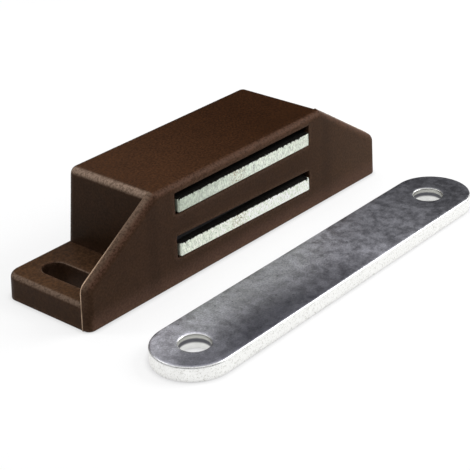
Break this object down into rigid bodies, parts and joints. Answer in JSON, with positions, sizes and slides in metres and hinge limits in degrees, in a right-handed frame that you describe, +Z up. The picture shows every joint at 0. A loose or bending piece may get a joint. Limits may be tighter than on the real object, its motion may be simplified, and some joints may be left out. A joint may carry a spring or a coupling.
{
  "type": "magnetic catch",
  "caption": "Cupboard magnetic catch: moulded housing with slotted screw feet, floating magnet pack with steel pole plates, and a loose round-ended steel strike plate.",
  "frame": {"origin": "middle of the housing's flat base, which is screwed to the cabinet", "axes": "+X along the housing's length, -Y out of the pole face towards the door and the strike plate, +Z up from the base"},
  "size_m": [0.0628, 0.0355, 0.0144],
  "materials": {
    "brown_plastic": "fine moulded texture, satin",
    "pole_steel": "zinc plated, sheared edge",
    "ferrite": "pressed and ground ferrite",
    "strike_steel": "zinc plated, mottled"
  },
  "bodies": {
    "housing": {"housing": "brown_plastic", "strike_plate": "strike_steel"},
    "magnet_pack": {"magnet": "ferrite", "lower_pole_plate": "pole_steel", "upper_pole_plate": "pole_steel"}
  },
  "joints": [
    {"name": "pack_float", "type": "slide", "parent": "housing", "child": "magnet_pack", "axis": [0, 0, 1], "range_m": [0, 0.00085]}
  ]
}
